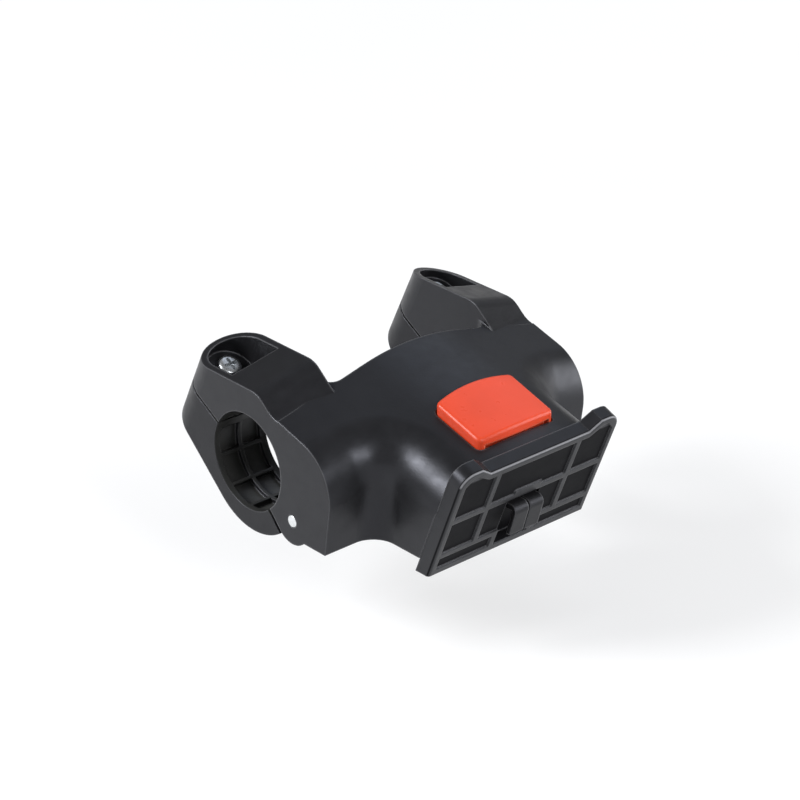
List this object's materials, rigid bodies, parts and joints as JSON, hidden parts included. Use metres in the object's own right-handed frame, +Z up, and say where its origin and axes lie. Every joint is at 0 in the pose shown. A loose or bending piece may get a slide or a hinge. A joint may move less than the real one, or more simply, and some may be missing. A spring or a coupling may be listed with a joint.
{
  "type": "handlebar bag mount",
  "caption": "Handlebar bag mount with hinged bar clamps, a crowned centre shell, a ribbed bag plate and a push button that draws back its latch.",
  "frame": {"origin": "on the handlebar's axis, midway between the two clamps", "axes": "+X along the handlebar, -Y towards the bag plate, +Z up"},
  "size_m": [0.105, 0.1104, 0.0531],
  "materials": {
    "body_plastic": "fine texture",
    "jaw_plastic": "fine texture",
    "pin_steel": "bright",
    "screw_zinc": "zinc plated",
    "nut_steel": "zinc plated",
    "button_plastic": "satin",
    "latch_plastic": "smooth",
    "spring_steel": "drawn wire",
    "cover_plastic": "smooth",
    "cover_screw_steel": "zinc plated"
  },
  "bodies": {
    "bracket": {"bracket_body": "body_plastic", "hinge_pin_left": "pin_steel", "hinge_pin_right": "pin_steel", "latch_cover": "cover_plastic", "cover_screws": "cover_screw_steel", "latch_spring": "spring_steel"},
    "jaw_left": {"clamp_jaw_left": "jaw_plastic", "clamp_nut_left": "nut_steel"},
    "jaw_right": {"clamp_jaw_right": "jaw_plastic", "clamp_nut_right": "nut_steel"},
    "screw_left": {"clamp_screw_left": "screw_zinc"},
    "screw_right": {"clamp_screw_right": "screw_zinc"},
    "button": {"release_button": "button_plastic"},
    "latch": {"latch_slide": "latch_plastic"}
  },
  "joints": [
    {"name": "jaw_left_swing", "type": "hinge", "parent": "bracket", "child": "jaw_left", "pos_m": [0, -0.02087, -0.01205], "axis": [-1, 0, 0], "range_deg": [0, 60]},
    {"name": "screw_left_draw", "type": "slide", "parent": "bracket", "child": "screw_left", "axis": [0, -0.5, 0.866], "range_m": [0, 0.014]},
    {"name": "jaw_right_swing", "type": "hinge", "parent": "bracket", "child": "jaw_right", "pos_m": [0, -0.02087, -0.01205], "axis": [-1, 0, 0], "range_deg": [0, 60]},
    {"name": "screw_right_draw", "type": "slide", "parent": "bracket", "child": "screw_right", "axis": [0, -0.5, 0.866], "range_m": [0, 0.014]},
    {"name": "button_press", "type": "slide", "parent": "bracket", "child": "button", "axis": [0, 0, -1], "range_m": [0, 0.004], "stiffness_N_per_m": 600, "springref_m": -0.003},
    {"name": "latch_draw", "type": "slide", "parent": "bracket", "child": "latch", "axis": [0, 1, 0], "range_m": [0, 0.004], "deforming": ["latch_spring"]}
  ],
  "couplings": [
    {"joint": "jaw_left_swing", "follows": "screw_left_draw", "rad_per_m": 74.792},
    {"joint": "jaw_right_swing", "follows": "screw_right_draw", "rad_per_m": 74.792},
    {"joint": "latch_draw", "follows": "button_press", "ratio": 1}
  ]
}
